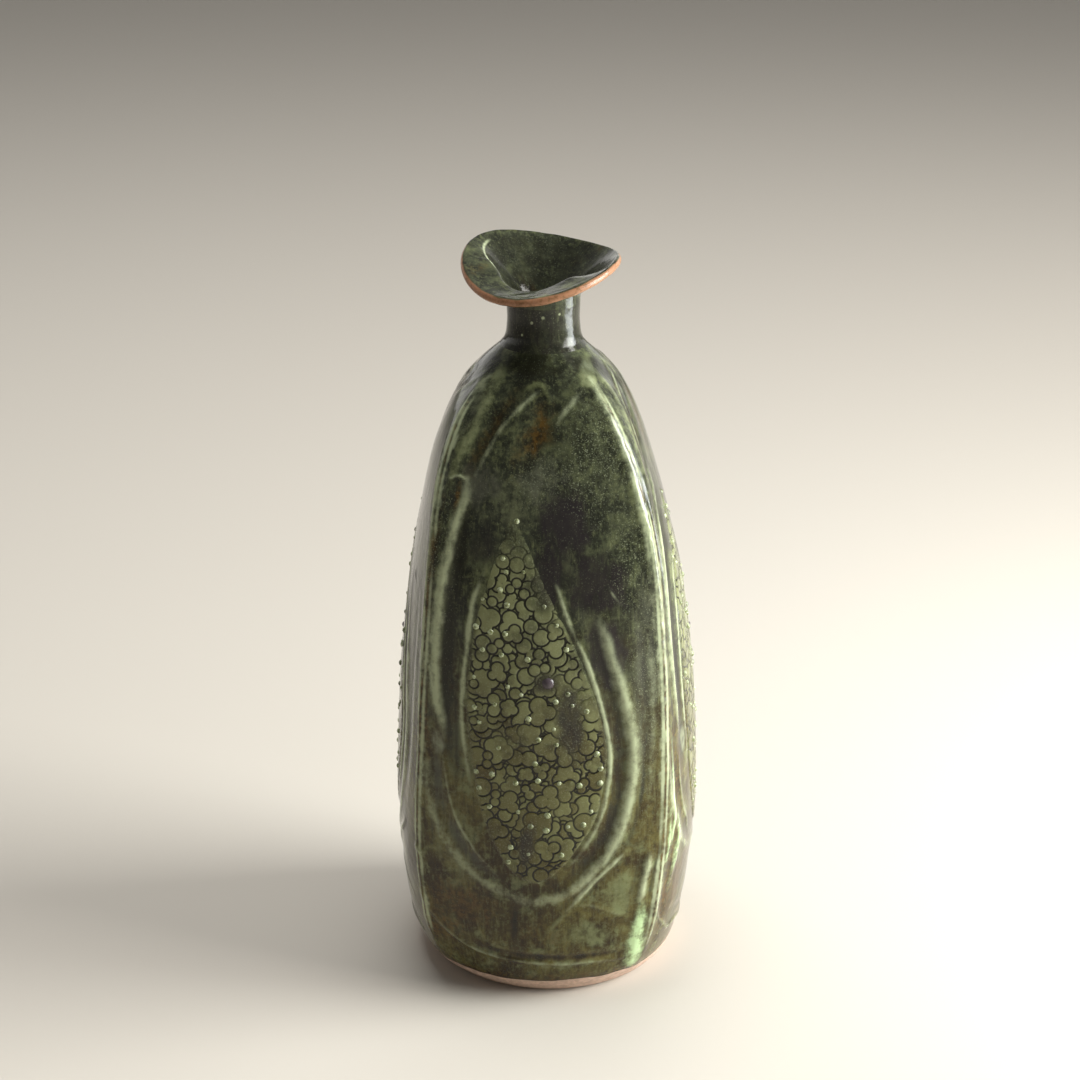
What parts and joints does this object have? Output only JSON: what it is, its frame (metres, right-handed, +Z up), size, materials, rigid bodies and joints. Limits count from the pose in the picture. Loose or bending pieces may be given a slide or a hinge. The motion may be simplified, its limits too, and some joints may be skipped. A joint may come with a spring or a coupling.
{
  "type": "sake bottle",
  "caption": "Squared, hand-built stoneware sake bottle with stamped medallions and a warped pouring lip, open through its neck to a hollow body.",
  "frame": {"origin": "centre of the flat foot, on the surface the bottle stands on", "axes": "+Z up along the bottle, -Y out of the front face, +X to the right where the lip's pointed tip is"},
  "size_m": [0.093, 0.093, 0.2181],
  "materials": {
    "bare_stoneware": "bare fired stoneware clay under the glaze line, dry and matte",
    "green_glaze": "glossy mottled dark green ash glaze with brown iron patches and pale ridges",
    "lip_glaze": "glossy dark green glaze, broken to copper-brown along the rim",
    "medallion_glaze": "sage green glaze pooled over stamped scallops with dark outlines",
    "pearl_glaze": "pale green raised beads, glossy",
    "liner_glaze": "dark glossy poured liner glaze"
  },
  "bodies": {
    "root": {"base_slab": "bare_stoneware", "wall_front": "green_glaze", "wall_right": "green_glaze", "wall_back": "green_glaze", "wall_left": "green_glaze", "neck_collar": "green_glaze", "lip": "lip_glaze", "medallion_front": "medallion_glaze", "medallion_right": "medallion_glaze", "medallion_back": "medallion_glaze", "medallion_left": "medallion_glaze", "pearls_front": "pearl_glaze", "pearls_right": "pearl_glaze", "pearls_back": "pearl_glaze", "pearls_left": "pearl_glaze", "glaze_lining": "liner_glaze"}
  },
  "joints": []
}
